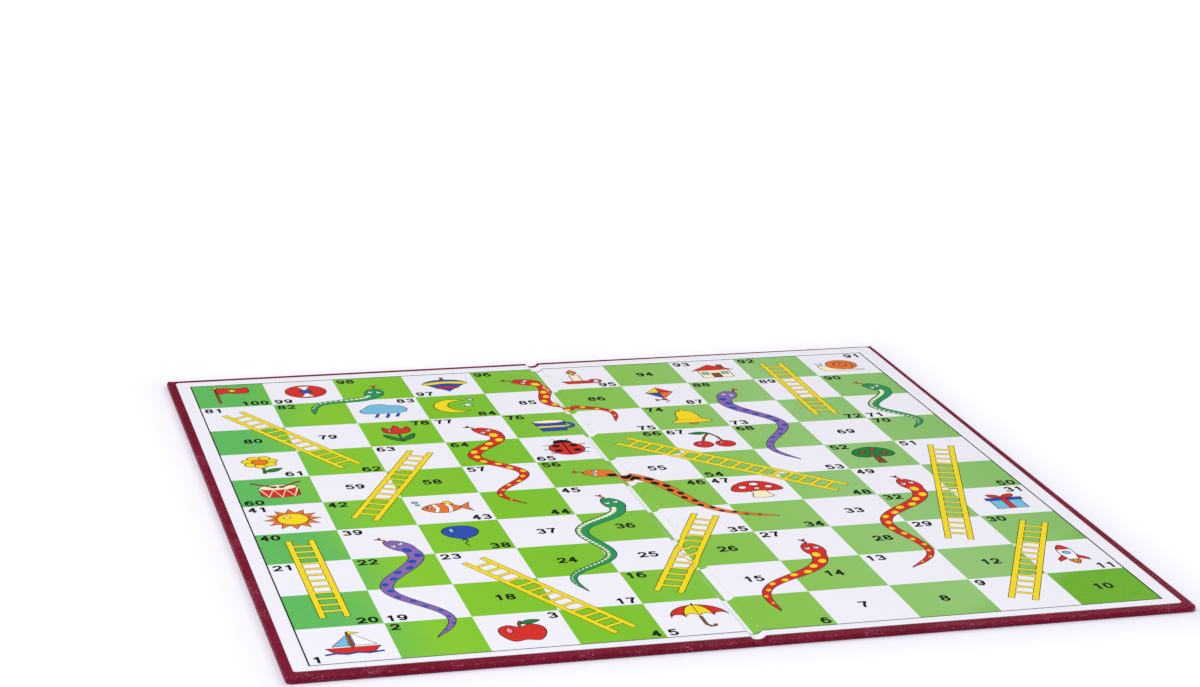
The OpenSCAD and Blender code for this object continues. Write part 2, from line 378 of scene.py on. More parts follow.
inkByName = {name: inkMaterial(name) for name in inkNames}
sheetMaterials = list(inkByName.values()) + [
    plainMaterial("sheetCore", fibreGroup, 0.00003, 0.8, (0.2, tone(206, 202, 196)),
                  (0.75, tone(238, 236, 232)), Scale=1.0, Specks=0.2)]
wrapPaper = surface("wrapLeatherPaper", wrapLook, 0.00009, 0.12)
pressedBoard = plainMaterial("pressedGreyboard", fibreGroup, 0.00006, 0.92, (0.1, tone(104, 98, 88)),
                             (0.8, tone(172, 166, 152)), Scale=0.7, Specks=0.6)
hingeCloth = plainMaterial("hingeCloth", weaveGroup, 0.00005, 0.85, (0.1, tone(188, 176, 150)),
                           (0.8, tone(224, 214, 190)), Threads=2400.0)
print("materials made:", len(sheetMaterials) + 3)


# The print, laid out flat: each entry is an outline in mm, its layer and its ink
printed = []
layers = {"paper": 0, "green": 1, "frame": 2, "picture": 10, "ladderEdge": 40, "ladder": 41, "tongue": 48,
          "snakeEdge": 50, "snake": 51, "spot": 52, "eye": 53, "number": 60, "wear": 70}


def pairs(points):
    return list(zip(points, points[1:] + points[:1]))


def area(points):
    return sum(a[0] * b[1] - b[0] * a[1] for a, b in pairs(points)) / 2


sliver = {"area": 0.004, "side": 0.05}


def layDown(outlines, layer, ink):
    # takes up the outlines anticlockwise, but for slivers
    for points in outlines:
        points = [tuple(p[:2]) for p in points]
        size = area(points)
        longest = max(hypot(a[0] - b[0], a[1] - b[1]) for a, b in pairs(points))
        if abs(size) >= sliver["area"] * max(longest, sliver["side"]):
            printed.append((points if size > 0 else points[::-1], layer, ink))


def squareMiddle(number):
    row, place = divmod(number - 1, 10)
    column = 9 - place if row % 2 else place
    return (column + 0.5) * cell - gridHalf, (row + 0.5) * cell - gridHalf


def evaluated(piece):
    return bpy.data.meshes.new_from_object(piece.evaluated_get(bpy.context.evaluated_depsgraph_get()))


def stamp(tree, start, end, layer, ink, **values):
    # runs a tree on a straight route and lays down every face of the result, whose height is its layer
    route = bpy.data.meshes.new("route")
    route.from_pydata([(*start, 0), (*end, 0)], [(0, 1)], [])
    carrier = bpy.data.objects.new(tree.name, route)
    bpy.context.scene.collection.objects.link(carrier)
    modifier = carrier.modifiers.new(tree.name, "NODES")
    modifier.node_group = tree
    values.update(Layer=float(layers[layer]), Ink=inkByName[ink])
    for item in tree.interface.items_tree:
        if item.in_out == "INPUT" and item.name in values:
            modifier[item.identifier] = values[item.name]
    made = evaluated(carrier)
    bpy.data.objects.remove(carrier)
    for face in made.polygons:
        points = [made.vertices[i].co for i in face.vertices]
        layDown([points], round(points[0].z), made.materials[face.material_index].name[:-3])
    for mesh in (route, made):
        bpy.data.meshes.remove(mesh)


def geo(tree, kind, **inputs):
    return node(tree, "GeometryNode" + kind, **inputs)


def moved(geometry, offset):
    return geo(geometry.tree, "SetPosition", Geometry=geometry, Offset=offset)


def printTree(name, *sizes):
    # a tree that prints something on a route: the tree, the route, the sizes and what ends it
    tree, (route, *given, layer, ink), out = groupWith(
        name, {"Geometry": "Geometry", **dict.fromkeys(sizes, 0.0), "Layer": 0.0, "Ink": "Material"},
        ["Geometry"], "Geometry")

    def finish(made):
        made = geo(tree, "RealizeInstances", Geometry=made)
        made = moved(made, node(tree, "ShaderNodeCombineXYZ", Z=layer))
        plug(out[0], geo(tree, "SetMaterial", Geometry=made, Material=ink))
        return tree

    return tree, route, given, finish


def sideways(tree):
    tangent = geo(tree, "InputTangent")
    return tangent, vectors("CROSS_PRODUCT", (0, 0, 1), tangent)


def ribbon(curve, half):
    bar = geo(curve.tree, "CurvePrimitiveLine", Start=(-1, 0, 0), End=(1, 0, 0))
    return geo(curve.tree, "CurveToMesh", Curve=curve, Profile_Curve=bar, Scale=half)


def facing(tangent):
    return node(tangent.tree, "FunctionNodeAlignRotationToVector", setup={"axis": "X"}, Vector=tangent)


def checkerTree():
    tree, route, (size, cells), finish = printTree("greenSquares", "Cell", "Cells")
    side, corners = size * cells, cells + 1
    grid = geo(tree, "MeshGrid", Size_X=side, Size_Y=side, Vertices_X=corners, Vertices_Y=corners)
    index = geo(tree, "InputIndex")
    row = calc("FLOOR", index / cells + 0.001)
    white = calc("LESS_THAN", calc("MODULO", row + index - row * cells, 2.0), 0.5)
    return finish(geo(tree, "DeleteGeometry", setup={"domain": "FACE"}, Geometry=grid, Selection=white))


def ladderTree():
    tree, route, (reach, width, rail, rung, pitch, grow), finish = printTree(
        "ladderPrint", "Reach", "Width", "Rail", "Rung", "Pitch", "Grow")
    tangent, left = sideways(tree)
    end = geo(tree, "SplineParameter") * 2 - 1
    middle = moved(geo(tree, "MeshToCurve", Mesh=route), scaled(tangent, end * reach))
    parts = []
    for way in (-1, 1):
        aside = vectors("ADD", scaled(tangent, end * grow), scaled(left, (width - rail) * (way / 2)))
        parts.append(ribbon(moved(middle, aside), rail / 2 + grow))
    count = calc("CEIL", (geo(tree, "SplineLength") - rung) / pitch) + 2
    stops = geo(tree, "ResampleCurve", Curve=middle, Count=count)
    bar = geo(tree, "MeshGrid", Size_X=rung + grow * 2, Size_Y=width - rail, Vertices_X=2, Vertices_Y=2)
    ends = geo(tree, "CurveEndpointSelection", Start_Size=1, End_Size=1)
    inner = node(tree, "FunctionNodeBooleanMath", setup={"operation": "NOT"}, Boolean=ends)
    parts.append(geo(tree, "InstanceOnPoints", Points=stops, Selection=inner, Instance=bar,
                     Rotation=facing(tangent)))
    return finish(geo(tree, "JoinGeometry", Geometry=parts))


def snakeTree(marks):
    # a straight route becomes a waving ribbon, or the marks along it
    tree, route, sizes, finish = printTree(
        "snakeMarks" if marks else "snakeBody", "Bends", "Sway", "Width", "Tail", "Head", "Nose", "Taper",
        "Steps", "Grow", "Pitch", "Long", "Wide", "Aside", "Both")
    bends, sway, width, tail, head, nose, taper, steps, grow, pitch, long, wide, aside, both = sizes
    curve = geo(tree, "StoreNamedAttribute", Geometry=geo(tree, "MeshToCurve", Mesh=route), Name="run",
                Value=geo(tree, "SplineLength"))
    tangent, left = sideways(tree)
    factor = geo(tree, "SplineParameter")
    curve = moved(curve, scaled(tangent, (factor * 2 - 1) * grow))
    curve = geo(tree, "ResampleCurve", Curve=curve, Count=steps)
    run = geo(tree, "InputNamedAttribute", Name="run")
    whole, share = run + grow * 2, factor ** 1.3
    distance = share * whole - grow
    s = limited("DIVIDE", distance, run)
    inHead = limited("DIVIDE", distance + grow, nose + grow * 2)
    bulge = inHead * 2 - 1
    headHalf = (head / 2 + grow) * calc("SQRT", calc("MAXIMUM", 1 - bulge * bulge, 0.0))
    bodyHalf = tail / 2 + (width - tail) / 2 * ((1 - s) ** taper)
    # the last of the tail runs out to a point
    bodyHalf = bodyHalf * limited("MULTIPLY", 1 - s, 16.0) ** 0.7 + grow
    half = calc("MAXIMUM", headHalf, bodyHalf * calc("GREATER_THAN", inHead, 0.5))
    curve = geo(tree, "StoreNamedAttribute", Geometry=curve, Name="half", Value=half)
    wave = scaled(left, sway * calc("SINE", s * bends * pi))
    curve = moved(curve, vectors("ADD", scaled(tangent, (share - factor) * whole), wave))
    half = geo(tree, "InputNamedAttribute", Name="half")
    if not marks:
        return finish(ribbon(curve, half))
    end = geo(tree, "SplineLength") - width * 1.2
    curve = geo(tree, "TrimCurve", setup={"mode": "LENGTH"}, Curve=curve, Start=nose * 1.05, End=end)
    stops = geo(tree, "ResampleCurve", setup={"mode": "LENGTH"}, Curve=curve, Length=pitch)
    dot = geo(tree, "MeshCircle", setup={"fill_type": "NGON"}, Vertices=14, Radius=1.0)
    flip = calc("MODULO", geo(tree, "InputIndex"), 2.0) * 2 * both - 1
    stops = moved(stops, scaled(left, flip * half * aside))
    size = node(tree, "ShaderNodeCombineXYZ", X=half * long, Y=half * wide, Z=1.0)
    return finish(geo(tree, "InstanceOnPoints", Points=stops, Instance=dot, Rotation=facing(tangent),
                      Scale=size))


# Paper, frame line and squares
sheetPlan = {"corner": 1.5, "frameLine": 0.6}


def box(x0, y0, x1, y1):
    return [(x0, y0), (x1, y0), (x1, y1), (x0, y1)]


def roundedSquare(reach, radius, steps=6):
    points = []
    for k, (cx, cy) in enumerate(((1, 1), (-1, 1), (-1, -1), (1, -1))):
        for turn in (pi / 2 * (k + i / steps) for i in range(steps + 1)):
            points.append((cx * (reach - radius) + radius * cos(turn), cy * (reach - radius) + radius * sin(turn)))
    return points


layDown([roundedSquare(sheetHalf, sheetPlan["corner"])], layers["paper"], "paper")
stamp(checkerTree(), (0, 0), (1, 0), "green", "green", Cell=cell, Cells=float(board["cells"]))
lineEnd = gridHalf + sheetPlan["frameLine"]
spans = ((-lineEnd, -gridHalf), (gridHalf, lineEnd))
layDown([box(-lineEnd, a, lineEnd, b) for a, b in spans] + [box(a, -lineEnd, b, lineEnd) for a, b in spans],
        layers["frame"], "black")

# Ladders, from the square at the foot to the square at the top
ladderRuns = [[4, 23], [9, 30], [16, 35], [20, 40], [29, 51], [42, 63], [48, 66], [62, 81], [72, 92]]
ladderSizes = {"Reach": 7.0, "Width": 11.0, "Rail": 2.1, "Rung": 1.5, "Pitch": 6.6}
ladders = ladderTree()
for foot, top in ladderRuns:
    for layer, ink, grow in (("ladderEdge", "black", 0.28), ("ladder", "yellow", 0.0)):
        stamp(ladders, squareMiddle(foot), squareMiddle(top), layer, ink, Grow=grow, **ladderSizes)
print("ladders laid down:", len(printed), "outlines")

# Snakes, from the head's square to the tail's: bends, swing, body ink, mark ink and kind of marks
snakeSizes = {"Width": 6.4, "Tail": 1.0, "Head": 8.4, "Nose": 12.0, "Taper": 0.7, "Steps": 84.0}
swing = 8.6
snakes = [
    (39, 2, 3, 1.0, "purple", "blue", "spots"), (27, 6, 2, 0.9, "red", "yellow", "spots"),
    (45, 17, 4, 0.75, "snakeGreen", "cream", "belly"), (49, 13, 3, 0.9, "red", "yellow", "spots"),
    (56, 34, 2, 0.9, "orange", "black", "patches"), (77, 44, 4, 0.9, "red", "yellow", "spots"),
    (88, 53, 3, -0.9, "purple", "blue", "spots"), (90, 70, 3, 0.75, "snakeGreen", "cream", "belly"),
    (96, 75, 3, 0.85, "red", "yellow", "spots"), (98, 82, 2, 0.7, "snakeGreen", "cream", "belly"),
]
# The pitch in mm, the rest in half widths of the body, and whether the marks change sides
markKinds = {
    "spots": {"Pitch": 6.2, "Long": 0.78, "Wide": 0.58, "Aside": 0.3, "Both": 1.0},
    "belly": {"Pitch": 2.3, "Long": 0.42, "Wide": 0.36, "Aside": 0.52, "Both": 0.0},
    "patches": {"Pitch": 5.0, "Long": 0.95, "Wide": 0.6, "Aside": 0.34, "Both": 1.0},
}
snakeBody, snakeMarks = snakeTree(False), snakeTree(True)


def disc(x, y, rx, ry=None, turn=0.0, steps=18):
    ry = rx if ry is None else ry
    return [(x + rx * cos(a) * cos(turn) - ry * sin(a) * sin(turn),
             y + rx * cos(a) * sin(turn) + ry * sin(a) * cos(turn)) for a in (tau * i / steps for i in range(steps))]


def strip(points, width, closed=False):
    # quads of an even width along a line, mitred where they meet
    count, sides = len(points), []
    for i, p in enumerate(points):
        before = points[i - 1] if i or closed else p
        after = points[(i + 1) % count] if i < count - 1 or closed else p
        d1 = Vector((p[0] - before[0], p[1] - before[1]))
        d2 = Vector((after[0] - p[0], after[1] - p[1]))
        d1 = d1.normalized() if d1.length > 1e-6 else d2.normalized()
        d2 = d2.normalized() if d2.length > 1e-6 else d1
        mid = d1 + d2
        mid = mid.normalized() if mid.length > 0.3 else d2
        reach = width / 2 / max(abs(mid.dot(d2)), 0.55)
        sides.append(((p[0] - mid.y * reach, p[1] + mid.x * reach), (p[0] + mid.y * reach, p[1] - mid.x * reach)))
    return [[a[1], b[1], b[0], a[0]] for a, b in pairs(sides)[:count if closed else count - 1]]


# Places along and aside from the nose, and radii of the eye's rim, its white, its pupil and the nostril
snakeFace = {"eye": (4.3, 1.9), "pupil": (3.9, 1.95), "nostril": (1.3, 0.75), "rimSize": (1.5, 1.25),
             "whiteSize": (1.18, 0.95), "pupilSize": 0.55, "nostrilSize": 0.28}
tongueLines = [[(0.4, 0), (-1.4, 0.5), (-2.8, 0)], [(-2.6, 0), (-3.6, 0.6), (-4.4, 1.6)],
               [(-2.6, 0), (-3.7, -0.4), (-4.6, -1.1)]]
tongueWidths = {"black": 1.1, "red": 0.6}


def snakeHead(head, tail, bends, sway, ink):
    along = Vector((tail[0] - head[0], tail[1] - head[1]))
    run = along.length
    along = along / run
    left = Vector((-along.y, along.x))

    def at(forward, aside):
        # a place beside the snake's wave, counted from its nose
        s = max(forward / run, 0)
        slope = sway * bends * pi * cos(bends * pi * s) / run
        way = (along + left * slope).normalized()
        here = Vector(head) + along * (s * run) + left * (sway * sin(bends * pi * s)) + way * min(forward, 0)
        here += Vector((-way.y, way.x)) * aside
        return here.x, here.y

    nose, brow = at(0, 0), at(4, 0)
    turn = atan2(brow[1] - nose[1], brow[0] - nose[0])
    for way in (1, -1):
        eye, pupil, nostril = (at(snakeFace[k][0], snakeFace[k][1] * way) for k in ("eye", "pupil", "nostril"))
        layDown([disc(*eye, *snakeFace["rimSize"], turn)], layers["eye"], "black")
        layDown([disc(*eye, *snakeFace["whiteSize"], turn)], layers["eye"] + 1, "white")
        layDown([disc(*pupil, snakeFace["pupilSize"])], layers["eye"] + 2, "black")
        layDown([disc(*nostril, snakeFace["nostrilSize"], steps=8)], layers["eye"] + 1, "black")
    for line in tongueLines:
        tongue = [at(*p) for p in line]
        layDown(strip(tongue, tongueWidths["black"]), layers["tongue"], "black")
        layDown(strip(tongue, tongueWidths["red"]), layers["tongue"] + 1, "deepRed" if ink == "red" else "red")


for head, tail, bends, share, ink, markInk, kind in snakes:
    start, end = squareMiddle(head), squareMiddle(tail)
    shape = dict(snakeSizes, Bends=float(bends), Sway=swing * share)
    stamp(snakeBody, start, end, "snakeEdge", "black", Grow=0.34, **shape)
    stamp(snakeBody, start, end, "snake", ink, Grow=0.0, **shape)
    stamp(snakeMarks, start, end, "spot", markInk, Grow=0.0, **shape, **markKinds[kind])
    snakeHead(start, end, shape["Bends"], shape["Sway"], ink)
print("snakes laid down:", len(printed), "outlines")


# Small pictures

def smooth(points, steps=5):
    # a closed soft outline through the points
    count, out = len(points), []
    for i in range(count):
        p0, p1, p2, p3 = (points[(i + k) % count] for k in (-1, 0, 1, 2))
        for t in (j / steps for j in range(steps)):
            out.append(tuple(0.5 * (2 * b + (c - a) * t + (2 * a - 5 * b + 4 * c - d) * t ** 2
                                    + (3 * b - a - 3 * c + d) * t ** 3) for a, b, c, d in zip(p0, p1, p2, p3)))
    return out


def softLine(points, steps):
    # a soft open line through the points
    first, last = (tuple(2 * p[k] - q[k] for k in (0, 1)) for p, q in (points[:2], points[:-3:-1]))
    return smooth([first] + points + [last], steps)[steps:steps * len(points) + 1]


def arc(x, y, r, start, end, steps=12, ry=None):
    turns = (radians(start + (end - start) * i / steps) for i in range(steps + 1))
    return [(x + r * cos(a), y + (r if ry is None else ry) * sin(a)) for a in turns]


def oval(x, y, rx, ry=None):
    return disc(x, y, rx, ry, steps=12 + int(2.4 * rx))


def star(x, y, outer, inner, tips=5, start=90):
    turns = [radians(start + 180 / tips * i) for i in range(int(2 * tips))]
    return [(x + r * cos(a), y + r * sin(a)) for a, r in zip(turns, (outer, inner) * int(tips))]


def scallops(*places):
    return [p for x in places for p in arc(x, 0, 2.75, 180, 0, 6)[1:]][:-1]


# Each form is its kind, its ink, a line's width and then numbers, in mm from the middle of the square, or the name
# of one of these outlines. The kinds are b box, l line, o oval, p straight outline, s soft outline, t soft outline
# in fewer steps and x star. After the kind, + means the right half of a form and = a form that comes on both sides
namedOutlines = {
    "canopy": arc(0, 0, 11, 0, 180, 20) + scallops(-8.25, -2.75, 2.75, 8.25),
    "canopyMiddle": arc(0, 0, 5.5, 0, 180, 16, 11) + scallops(-2.75, 2.75),
    "drum": [(-8, 4)] + arc(0, -5, 8, 180, 360, 14, 3.2) + [(8, 4)],
    "cupEar": arc(7, -1, 3.8, 105, -105), "dishEar": arc(8, -6.6, 2.5, 150, -150),
    "waist": arc(-13, 0, 12.4, 38, -38, 8) + arc(13, 0, 12.4, 218, 142, 8),
    "moon": arc(0, 0, 9.4, 50, 310, 22) + arc(4.4, 0, 7.35, 281, 79, 18)[1:-1],
    "shell": [(2 + 5.8 * r * cos(a), -0.2 + 5.6 * r * sin(a))
              for r, a in ((1 - t / 51, t * 0.24 - 1) for t in range(46))],
}
petals = "".join(f"o yellow {5.1 * cos(a)} {4 + 5.1 * sin(a)} 2.7; " for a in (tau * i / 7 + 0.2 for i in range(7)))
pictures = {
    1: "l brown 1 0 -4 0 10; p white 1 -2.6 1 9 9 -2.6; p sky -1 -2.6 -1 7 -7.4 -2.6; p red -10 -4 10 -4 7 -9 -7 -9; "
       "p yellow 0 10.4 4.4 9 0 7.6; l blue 1 -11 -9.6 -7 -8.6 -3 -9.8 1 -8.7 5 -9.8 10.5 -8.8",
    3: "s+ red 0 4 4 6.5 8 4 8.5 -2 5 -8.5 0 -7.6; l brown 1 0 3.6 0.2 7 1.4 10; s leaf 1 7 4 10.4 8.6 9.6 5 6.8; "
       "o pink -4.6 1.6 1.3 2.5",
    5: "l brown 1 0 0 0 -8 1.2 -10 3 -9.6 3.4 -8; p red canopy; p yellow canopyMiddle; l black 0.9 0 11 0 12.4; "
       "l black 0.35 0 2.6 0 11",
    47: "s cream -3 0 -3.4 -5 -4.4 -9 0 -10 4.4 -9 3.4 -5 3 0; s+ red 0 10.4 5 9 9.6 4.6 11 -1 6 -2.6 0 -1.6; "
        "o white -5.6 3 1.8 1.6; o white 0.4 6.4 2.1 1.7; o white 5.8 2.6 1.7 1.5; o white 0.2 1.2 1.3 1.1",
    11: "s+ white 0 11.5 3.4 6 3.6 -3 2.4 -6.4; p= red 3.5 -1 7.4 -5.6 7.4 -8.4 2.6 -5.4; "
        "s+ red 0 11.5 2.6 8.2 2.9 6.2; o sky 0 2 1.9; s+ orange 0 -12.4 2.4 -9 2 -6.8; o yellow 0 -8.2 0.9 1.5",
    38: "l black 0.5 0 -3.8 0.9 -6 -0.7 -8.4 0.6 -11.4; s+ blue 0 11.4 5.4 9.6 7.4 5 5.6 0 1.6 -3 0 -3.6; "
        "p blue -1.2 -4.8 1.2 -4.8 0 -3.2; o sky -3.2 6.6 1.1 2.2",
    41: "x orange 0 0 11.6 7.2 12 0; o yellow 0 0 6.4; o cream -2 1.9 1.5 1.2",
    43: "p orange 5.4 0 11 5.4 9.6 0 11 -5.4; s yellow -1 4.6 2.4 8 4 3.6; "
        "s orange -9.6 0 -5 4.8 1.6 5 6.6 0 1.6 -5 -5 -4.8; l white 1.5 -4.2 4.4 -3 0 -4.2 -4.4; "
        "l white 1.5 1.4 4.7 2.4 0 1.4 -4.7; o white -6.5 1.3 1.1; o black -6.8 1.3 0.45; o sky -10.4 5 0.9; "
        "o sky -11 8.2 1.3",
    52: "p brown -1.8 -10 1.8 -10 1.3 0 -1.3 0; s+ leaf 0 11 5 9.4 8.6 6 9.4 1 5.4 -2.2 0 -1.2; "
        "o red -4.4 4.6 1.3; o red 1.2 7.4 1.3; o red 5 2.6 1.3; o red -0.8 1.6 1.3",
    60: "p red drum; l cream 0.7 -8 3 -5.2 -7 -2.4 1.2 0.2 -8 2.8 1.2 5.4 -7 8 3; o cream 0 4 8 3.2; "
        "l= brown 0.9 10.5 10.4 2 4.6; o= brown 1.6 4.4 1.1",
    61: "l leaf 1 0 0 0.4 -5 0 -11; s leaf 0.2 -9 3 -5.4 8 -5 5 -9; " + petals + "o orange 0 4 3.4",
    65: "l= black 0.5 2 8.4 3.6 11.4; l black 0.7 -9.6 3.4 9.6 3.4; l black 0.7 -10.4 -2 10.4 -2; "
        "l black 0.7 -8.6 -7 8.6 -7; o black 0 6.6 4 3.4; o red 0 -1.6 7.8 8.2; l black 0.7 0 6.4 0 -9.7; "
        "o black -3.9 2.2 1.6; o black 3.9 2.2 1.6; o black -4.2 -3.8 1.6; o black 4.2 -3.8 1.6",
    31: "b sky -8 -9 8 2.2; b blue -9.4 2.2 9.4 5.6; b red -1.5 -9 1.5 5.6; s= red 0 5.6 2 9.6 6.6 10.4 5.6 6.6",
    67: "l brown 0.9 -4.4 -3 -1.6 4 2 9.6; l brown 0.9 5.2 -3 4.4 4 2 9.6; s leaf 2 9.6 -2 11.8 -7 10 -3 8; "
        "o red -4.6 -5.2 4.4; o red 5.4 -5.6 4.4; o pink -6 -3.8 0.9 1.4; o pink 4 -4.2 0.9 1.4",
    76: "l blue 1.7 cupEar; p blue -8 5.2 8 5.2 6 -9 -6 -9; l yellow 2 -6.9 -2.4 6.9 -2.4; o cream 0 5.2 8 2.4",
    83: "l blue 1.1 -3.4 -4 -5.4 -9; l blue 1.1 1.4 -4 -0.6 -10; l blue 1.1 6 -4 4 -9; "
        "s sky -9 -3 -11 1 -8.4 4.6 -5 9 0 9.8 3.6 7.6 8 6.6 10.6 2.4 9 -2.4 3 -3.4 -3 -3.4",
    95: "l red 1.2 dishEar; b cream -2.3 -7 2.3 3.4; l black 0.5 0 3.2 0 5.4; s orange 0 4.8 2.3 7 0.3 11.8 -2.3 7; "
        "o yellow 0 6.8 0.9 1.5; p red -8 -5.6 8 -5.6 5.6 -9.6 -5.6 -9.6",
    99: "o red 0 0 9.4; p white waist; o blue 0 0 2.6",
    74: "o yellow 0 10.2 1.5; o orange 0 -7.8 2.1; s+ yellow 0 9.4 3.6 8 5 3.4 5.8 -2.2 9.2 -6.6 0 -7.6; "
        "l orange 0.6 -6.2 -3.2 6.2 -3.2",
    78: "l leaf 1 0 1 0 -11; s= leaf 0 -10.6 5.4 -6.4 6.8 -0.4 2 -5; t+ red 0 11.4 2.6 6 5.4 9.6 6 3.4 3 0; "
        "o pink -3.2 4 0.8 2",
    84: "p yellow moon; x white 6.4 0.8 3 1.2; x white 9 8.4 2 0.8",
    87: "l black 0.5 0 -5 -2 -7.4 1.4 -9 -1 -11.6; p red 0 11 6.6 3.4 0 3.4; p yellow 0 11 0 3.4 -6.6 3.4; "
        "p blue -6.6 3.4 0 3.4 0 -5.6; p orange 0 3.4 6.6 3.4 0 -5.6; p red -2 -7.4 -4.6 -6 -4.6 -8.8; "
        "p red -2 -7.4 0.6 -6 0.6 -8.8",
    91: "l black 0.5 -8.6 -1 -10.6 4; l black 0.5 -8 -1 -7.4 4.2; "
        "s cream -10.4 -2 -9 0.4 -6 -2 -2 -6 10.6 -8.4 6 -9.4 -7 -9 -9.6 -6; o orange 2 0 7.6 7.2; "
        "l brown 0.8 shell",
    93: "b brown 4 5 6.6 10; b cream -7.6 -9.4 7.6 2.4; p red -10.4 1.8 10.4 1.8 0 10.6; b brown -2 -9.4 2 -2.6; "
        "b= sky 3.4 -4.6 6.2 -0.8; o yellow 1.1 -6.2 0.4",
    97: "l brown 1.3 0 6 0 10.6; s+ blue 0 7 6 5.8 10 2 6.4 -3.4 1.2 -9 0 -10.8; "
        "t+ yellow 0 4.6 10 2.4 8.6 -0.6 0 1.2; t+ red 0 -3.4 5.4 -4.6 3.4 -6.8 0 -6",
    100: "l brown 1 -5 -11 -5 11; t red -4.5 10.4 0 11.2 4.6 9.6 9.6 10.6 9.2 3 4.4 2.2 0 3.6 -4.5 2.8; "
         "x yellow 2.4 6.7 2.8 1.2; o yellow -5 11.4 1.1",
}
# The corner that the number takes beside each picture, and the shift and scale of those that need one
numberCorners = {(-1, -1): (1, 5, 60, 65, 97, 99), (1, -1): (11, 38, 43, 61, 84, 87, 95, 100),
                 (-1, 1): (41, 47, 52, 67, 74, 76, 93), (1, 1): (3, 31, 78, 83, 91)}
cornerBeside = {number: corner for corner, group in numberCorners.items() for number in group}
pictureShifts = {11: (2.6, 1, 0.84), 31: (3, -1, 0.84), 76: (1, 0, 0.9)}
# The dark line's width and the least width of a line that gets one, how far a picture moves away from its number,
# its scale and the step between layers
pictureStyle = {"line": 0.42, "edged": 0.8, "away": (1.3, 0.8), "scale": 0.98, "step": 1.3}


def path(facts, middle=None):
    # a line through the points that the numbers give, made whole where they are its right half
    values = [float(v) for v in facts]
    points = list(zip(values[::2], values[1::2]))
    return points if middle is None else points + [(2 * middle - x, y) for x, y in points[::-1] if x != middle]


def outlineOf(kind, facts):
    # the outline that a form's numbers or its name give
    if facts[0] in namedOutlines:
        return namedOutlines[facts[0]]
    maker, steps = {"b": box, "o": oval, "x": star}.get(kind[0]), {"s": 5, "t": 3}.get(kind[0])
    if maker:
        return maker(*map(float, facts))
    points = path(facts, 0 if "+" in kind else None)
    return smooth(points, steps) if steps else points


def drawPicture(number):
    # a picture's forms over each other, each with a dark line round it
    shiftX, shiftY, scale = pictureShifts.get(number, (0, 0, pictureStyle["scale"]))
    x, y = (middle - way * away + shift for middle, way, away, shift
            in zip(squareMiddle(number), cornerBeside[number], pictureStyle["away"], (shiftX, shiftY)))
    layer, edge = layers["picture"], pictureStyle["line"]
    for form in pictures[number].split("; "):
        kind, ink, *facts = form.split()
        width = float(facts.pop(0)) if kind[0] == "l" else 0
        for way in (-1, 1) if "=" in kind else (1,):
            outline = [(x + scale * way * p[0], y + scale * p[1]) for p in outlineOf(kind, facts)]
            if width:
                if ink != "black" and width > pictureStyle["edged"]:
                    layDown(strip(outline, width + edge), layer, "black")
                layDown(strip(outline, width), layer + 1, ink)
            else:
                layDown([outline], layer, ink)
                layDown(strip(outline, edge, True), layer + 1, "black")
            layer += pictureStyle["step"]


for number in pictures:
    drawPicture(number)
print("pictures laid down:", len(printed), "outlines")

# Numbers

# Wide bold figures, in mm: height, width of one, gap between two and thickness of the stroke
numbering = {"height": 5.6, "width": 3.75, "gap": 0.5, "stroke": 1.12, "margin": 1.3}
# Strokes on a square of 1 by 1 that their middles fill: o is the right half of a soft loop, s a soft line and l a
# straight one. A 9 is a 6 turned round
figures = {
    "0": "o .5 1 .85 .88 1 .5 .85 .12 .5 0",
    "1": "l .62 1.1 .62 -.13; s .6 .98 .4 .84 .08 .74",
    "2": "s .02 .7 .16 .93 .5 1 .85 .93 .96 .72 .84 .5 .42 .26 .1 .04; l -.2 0 1.18 0",
    "3": "s .05 .78 .2 .95 .5 1 .82 .93 .92 .76 .78 .59 .4 .54; s .4 .54 .82 .48 1 .28 .85 .07 .5 0 .16 .05 0 .24",
    "4": "l .74 1.12 .74 -.13; l .72 1.02 .03 .3; l -.12 .28 1.18 .28",
    "5": "l 1.1 1 .1 1; l .2 1.05 .07 .46; s .08 .5 .3 .62 .62 .63 .92 .5 1 .3 .85 .08 .5 0 .15 .05 0 .22",
    "6": "o .5 0 .86 .08 1 .3 .86 .52 .5 .6; s .95 .82 .8 .96 .52 1 .2 .88 .03 .6 0 .3",
    "7": "l -.15 1 1.16 1; s 1 1.02 .72 .68 .5 .32 .4 -.13",
    "8": "o .5 1 .83 .93 .94 .77 .8 .6 .5 .54; o .5 .54 .86 .46 1 .27 .86 .08 .5 0",
}


def halfSize(number):
    wide = (numbering["width"] + numbering["gap"]) * len(str(number)) - numbering["gap"]
    return wide / 2, numbering["height"] / 2


def drawNumber(number, x, y):
    # the number with its middle at that point
    line = numbering["stroke"]
    wide, high = numbering["width"] - line, numbering["height"] - line
    left = x - halfSize(number)[0] + line / 2
    for figure in str(number):
        for stroke in figures["6" if figure == "9" else figure].split("; "):
            kind, *facts = stroke.split()
            points = path(facts, 0.5 if kind == "o" else None)
            if figure == "9":
                points = [(1 - u, 1 - v) for u, v in points]
            points = [(left + u * wide, y + (v - 0.5) * high) for u, v in points]
            if kind != "l":
                points = smooth(points, 3) if kind == "o" else softLine(points, 3)
            layDown(strip(points, line, kind == "o"), layers["number"], "black")
        left += numbering["width"] + numbering["gap"]


# Points along everything that a number keeps clear of: ladders, snakes and the fold
keeping = {"patch": 16, "apart": 1.2, "fold": 3.1, "most": 9.0, "enough": 1.6, "middleFirst": 0.4}
busy = {}


def patchOf(x, y):
    return floor(x / keeping["patch"]), floor(y / keeping["patch"])


def keepClear(x, y):
    busy.setdefault(patchOf(x, y), []).append((x, y))


